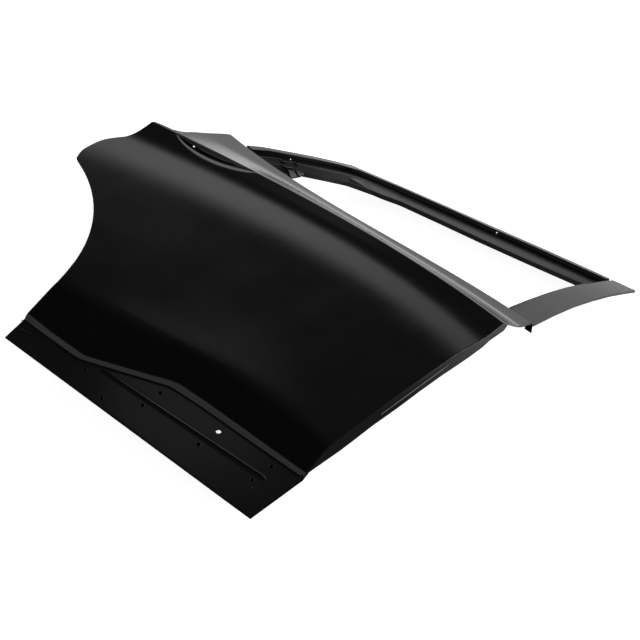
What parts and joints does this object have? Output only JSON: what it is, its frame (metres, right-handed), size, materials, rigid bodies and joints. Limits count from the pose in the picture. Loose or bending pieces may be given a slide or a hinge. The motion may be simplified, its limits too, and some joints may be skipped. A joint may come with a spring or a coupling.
{
  "type": "car door shell",
  "caption": "Bare pressed-steel shell of a right-hand rear car door with window frame, inner panel and side impact beam, cut round the wheel arch, in black primer.",
  "frame": {"origin": "centre of the bounding box in plan, at the lowest point of the door as it lies inner side down", "axes": "+X towards the front of the vehicle, +Y up the door from the sill to the roof, +Z outboard, away from the painted side"},
  "size_m": [0.9996, 1.1972, 0.1741],
  "materials": {
    "primer": "semi-gloss black electrocoat primer",
    "beam_primer": "black electrocoat primer on the impact beam's tube",
    "zinc": "zinc-plated weld nuts"
  },
  "bodies": {
    "root": {"outer_skin": "primer", "inner_panel": "primer", "frame_header": "primer", "frame_rear_upright": "primer", "b_pillar_plate": "primer", "frame_front_pillar": "primer", "frame_front_channel": "primer", "frame_front_foot": "primer", "frame_front_gusset": "primer", "frame_front_tab": "primer", "frame_rear_corner_gusset": "primer", "frame_rear_foot": "primer", "rear_glass_run": "primer", "belt_rail_inner": "primer", "belt_rail_outer": "primer", "impact_beam": "beam_primer", "beam_bracket_front": "primer", "beam_bracket_rear": "primer", "hinge_plate_upper": "primer", "hinge_plate_lower": "primer", "check_link_plate": "primer", "latch_plate": "primer", "handle_bracket": "primer", "hinge_nut_upper_high": "zinc", "hinge_nut_upper_low": "zinc", "hinge_nut_lower_high": "zinc", "hinge_nut_lower_low": "zinc"}
  },
  "joints": []
}
